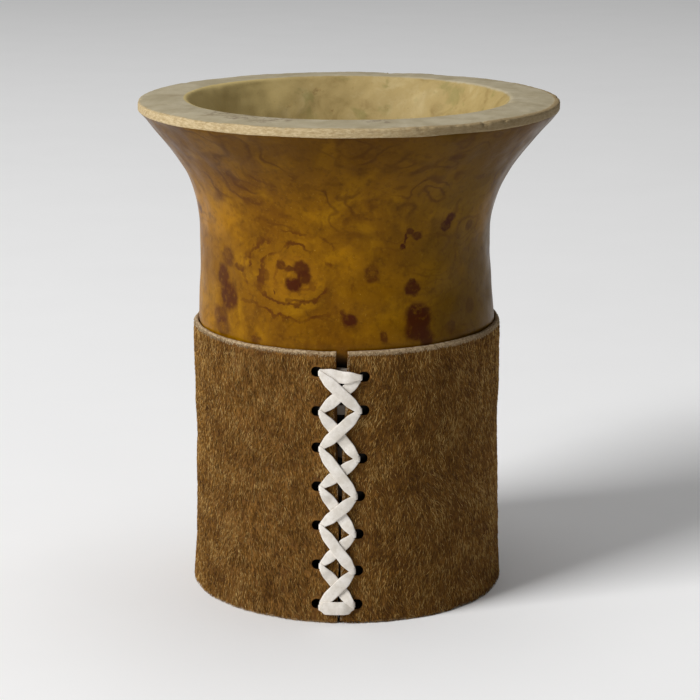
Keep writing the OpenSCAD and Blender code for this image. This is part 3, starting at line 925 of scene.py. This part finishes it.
def add_hair():
    """Hairs of four colours all over, and a fringe of pale ones along the top edge and the seam."""
    x, z = hair_roots(HAIRS, 40)
    rng = np.random.default_rng(41)
    place = around(x / MEAN_R, MEAN_R, z)
    streak = waves(place * [1, 1, 0.35], 2.2, 42)
    shade = 0.22 * waves(place, 12, 43) + 0.25 * streak + rng.normal(0, 0.9, len(x))
    kind = np.digitize(shade, HAIR_LIMITS)
    for k, name in enumerate(["dark", "brown", "tan", "light"]):
        add_hairs(name, x[kind == k], z[kind == k], 50 + k, HAIR_LENGTH)
    x = rng.uniform(-HALF_WAY, HALF_WAY, FRINGE_HAIRS)
    z = sleeve_top(x) - rng.uniform(0.15, 0.75, FRINGE_HAIRS)
    clear = (x > SEAM_RIGHT[-1] + 0.1) | (x < -SEAM_LEFT[-1] - 0.1)
    side_z = rng.uniform(1.0, SLEEVE_H - 1.0, SEAM_HAIRS)
    left, right = seam_edges(side_z)
    right_x = right + rng.uniform(0.08, 0.55, SEAM_HAIRS)
    left_x = -left - rng.uniform(0.05, 0.2, SEAM_HAIRS)
    side_x = np.where(rng.uniform(0, 1, SEAM_HAIRS) < 0.75, right_x, left_x)
    add_hairs("fringe", np.append(x[clear], side_x), np.append(z[clear], side_z), 60, FRINGE_LENGTH)


def add_hairs(name, x, z, seed, length):
    """One piece with all the hairs of a colour."""
    points, faces, along, tone = lay_hair(x, z, seed, length, HAIR_WIDTH)
    piece = add_piece("hair_" + name, points, [faces], [hair_material("Hair " + name, *HAIR_COLOURS[name])])
    add_values(piece, "tone", tone)
    add_values(piece, "along", along)
    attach(piece, "root")


# -------------------- the lace

STRIP_T = 0.42            # thickness
STRIP_W = 2.5             # width of a crossing strip at its middle
TOP_W, FOOT_W = 2.7, 2.9  # and of the level strips in the top and the bottom row
HOLE_W = 1.35             # width where the lace comes out of a hole
SQUEEZED_W = 1.1          # width inside a hole
TILTS = 0.5               # distance from a hole over which a strip turns into its direction
SQUEEZE = 0.6             # share of its thickness that the lace loses inside a hole
HOLE_LAYER = 0.4          # share of a layer between the two passes inside a hole
BACK_W = 2.2              # width behind the hide
WIDENS = 3.0              # distance from a hole where a crossing strip reaches its full width
TOP_WIDENS, FOOT_WIDENS, BACK_WIDENS = 2.6, 1.0, 2.0      # the same for the level ones and those behind
TOP_BOW, FOOT_BOW = -0.45, -0.1     # the level strips' middles sag by this much
PUFF = 0.03               # how far a strip's middle stands off
LANE = 0.1                # how far above or below a hole's middle a strip starts
FOOT_LANE = 0.5           # the same for the bottom strip, which hangs below its holes
BEND = STRIP_T / 2 + LACE_AIR
LAYER = STRIP_T + LACE_AIR
SECTION = 14              # points round the lace
STEP = 0.38               # length of one ring along the lace
CORNER_RINGS = 8          # rings in a quarter turn round the hide's edge
UNEVEN, UNEVEN_RINGS = 0.03, 8      # the width varies by this share, over about this many rings
ROWS = len(LEFT_HOLES)

# One strip in front, from a left to a right hole: their rows, its heights above their middles, the
# layers of lace that it rides over, its width, the distance over which it widens and its sag (negative).
Strip = namedtuple("Strip", "row to_row lane to_lane levels width widens bow")

# One ring round the lace: its middle, its tilt and turn, its width and thickness, and from 0 to 1 how
# far it is behind the hide and inside a hole, both of which the lace's material darkens as painted shade.
Ring = namedtuple("Ring", "x z out tilt turn width thick behind in_hole")


def lace_section(width, thick):
    """Outline of the lace: flat, with rounded edges, as (across, out)."""
    turn = np.arange(SECTION) * 2 * np.pi / SECTION + np.pi / SECTION
    across = np.sign(np.cos(turn)) * np.abs(np.cos(turn))**0.3 * width / 2
    out = np.sign(np.sin(turn)) * np.abs(np.sin(turn))**0.4 * thick / 2
    return across, out


def front_strips():
    """The strips in front, in the order that the lace runs through them."""
    last = ROWS - 1

    def crossing(row, next_row, down):
        middle = [1.0 if row % 2 == 0 else 0.0] * 4
        levels = [1, 1, *middle, 1, 1] if down else [0, 0.4, *middle, 0.4, 0]
        lane = -LANE if down else LANE
        return Strip(row, next_row, lane, -lane, levels, STRIP_W, WIDENS, 0.0)

    top = Strip(0, 0, LANE, LANE, [0, 0, 0, 0, 0.5, 1, 1, 1], TOP_W, TOP_WIDENS, TOP_BOW)
    downs = [crossing(row, row + 1, True) for row in range(last)]
    foot = Strip(last, last, -FOOT_LANE, -FOOT_LANE, [1, 1, 1, 1, 1, 1, 0.5, 0],
                 FOOT_W, FOOT_WIDENS, FOOT_BOW)
    ups = [crossing(row, row - 1, False) for row in range(last, 0, -1)]
    return [top, *downs, foot, *ups]


def lace_rings():
    """Rings along the whole loop."""
    rings = []

    def corner(x, z, side, start, end, in_hole, depth):
        """Round the hide's edge; in_hole and depth are layers of lace between it and the hide."""
        behind = max(start, end) > 90
        for turn in np.linspace(start, end, CORNER_RINGS):
            inside, outside = math.sin(math.radians(turn)), math.cos(math.radians(turn))
            out = (BEND + depth * LAYER) * outside - (HIDE_T if behind else 0)
            bulge = side * (BEND + HOLE_LAYER * in_hole * LAYER) * inside
            width = HOLE_W + (SQUEEZED_W - HOLE_W) * inside
            thick = STRIP_T * (1 - SQUEEZE * inside**2)
            hole_shade = float(smooth((inside - 0.6) / 0.38))
            rings.append(Ring(x + bulge, z, out, 0.0, turn * side, width, thick, float(behind), hole_shade))

    def run(start, end, levels, full_width, widens, bow, behind):
        """From one hole to another, in front of the hide or behind it."""
        (from_x, from_z), (to_x, to_z) = start, end
        reach = math.hypot(to_x - from_x, to_z - from_z)
        slope = math.atan((to_z - from_z) / (to_x - from_x))
        count = max(4, int(reach / STEP))
        for k in range(1, count):
            u = k / count
            from_end = min(u, 1 - u) * reach
            layers = np.interp(u, np.linspace(0, 1, len(levels)), levels)
            out = BEND + LAYER * layers + PUFF * math.sin(math.pi * u)
            width = HOLE_W + (full_width - HOLE_W) * float(smooth(from_end / widens))
            x = from_x + u * (to_x - from_x)
            z = from_z + u * (to_z - from_z) + bow * (4 * u * (1 - u))**2
            tilt = slope * float(smooth(from_end / TILTS))
            rings.append(Ring(x, z, -HIDE_T - out if behind else out, tilt, 180 if behind else 0,
                              width, STRIP_T, float(behind), 0.0))

    strips = front_strips()
    for strip, after in zip(strips, strips[1:] + strips[:1]):
        first, last = strip.levels[0], strip.levels[-1]
        left, right, back = LEFT_HOLES[strip.row], RIGHT_HOLES[strip.to_row], LEFT_HOLES[strip.to_row]
        start = (left[0] + NOTCH, left[1] + strip.lane)
        end = (right[0] - NOTCH, right[1] + strip.to_lane)
        back = (back[0] + NOTCH, back[1] + after.lane)
        corner(*start, -1, 90, 0, first, first)
        run(start, end, strip.levels, strip.width, strip.widens, strip.bow, False)
        corner(*end, 1, 0, 90, last, last)
        corner(*end, 1, 90, 180, last, last)
        run(end, back, [last, last], BACK_W, BACK_WIDENS, 0.0, True)
        corner(*back, -1, 180, 90, after.levels[0], last)
    return rings


def add_lace():
    rings = lace_rings()
    rng = np.random.default_rng(60)
    count = np.arange(len(rings))
    uneven = np.interp(count / UNEVEN_RINGS, count, rng.normal(0, UNEVEN, len(rings)))
    points = []
    for k, ring in enumerate(rings):
        across, out = lace_section(ring.width * (1 + uneven[k]), ring.thick)
        turned = math.radians(ring.turn)
        x = ring.x - across * math.sin(ring.tilt) + out * math.sin(turned)
        z = ring.z + across * math.cos(ring.tilt)
        up = ring.out + out * math.cos(turned)
        points.append(around(x / sleeve_r(ring.z), sleeve_r(z) + up, z))
    points = np.array(points)
    faces = grid_faces(len(rings), SECTION, closed_rows=True)
    piece = add_piece("lace_strip", points.reshape(-1, 3), [faces], [lace_material()])
    add_values(piece, "behind", np.repeat([ring.behind for ring in rings], SECTION))
    add_values(piece, "in_hole", np.repeat([ring.in_hole for ring in rings], SECTION))
    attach(piece, "root")
    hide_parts("lace")


def lace_material():
    """White leather, a little soiled, with a soft nap, and painted shade behind the hide and inside the
    holes.
    """
    s = Nodes("White leather")
    base = s.ramp(s.noise(2.4, 5.0, 0.65), [(0.3, colour(210, 202, 190)), (0.7, colour(234, 228, 220))])
    base = s.mix(s.fade(s.noise(0.5, 3.0, 0.7), 0.56, 0.74, 0.0, 0.35), base, colour(188, 172, 154))
    # Painted shade: the lace behind the hide is darker, darkest low down where the seam gap is narrow.
    behind = s.point_value("behind")
    shade_behind = s.mix(s.fade(s.part(s.place, 2), 36.0, 57.0), colour(52, 42, 34), colour(150, 140, 128))
    base = s.mix(behind, base, shade_behind)
    # Painted shade: the lace turns nearly black where it dives into a hole.
    in_hole = s.point_value("in_hole")
    base = s.mix(in_hole, base, colour(9, 6, 5))
    nap = s.bump(s.noise(0.7, 4.0, 0.7), 0.04)
    nap = s.bump(s.noise(0.16, 2.0, 0.6), 0.03, nap)
    return s.finish(Base_Color=base, Roughness=0.8, Normal=nap, Specular_IOR_Level=0.25)


# -------------------- put it together

bpy.context.scene.view_settings.view_transform = "Standard"
add_camera()
add_surroundings()
add_lights()
add_floor()
add_gourd()
add_hide()
add_hair()
add_lace()
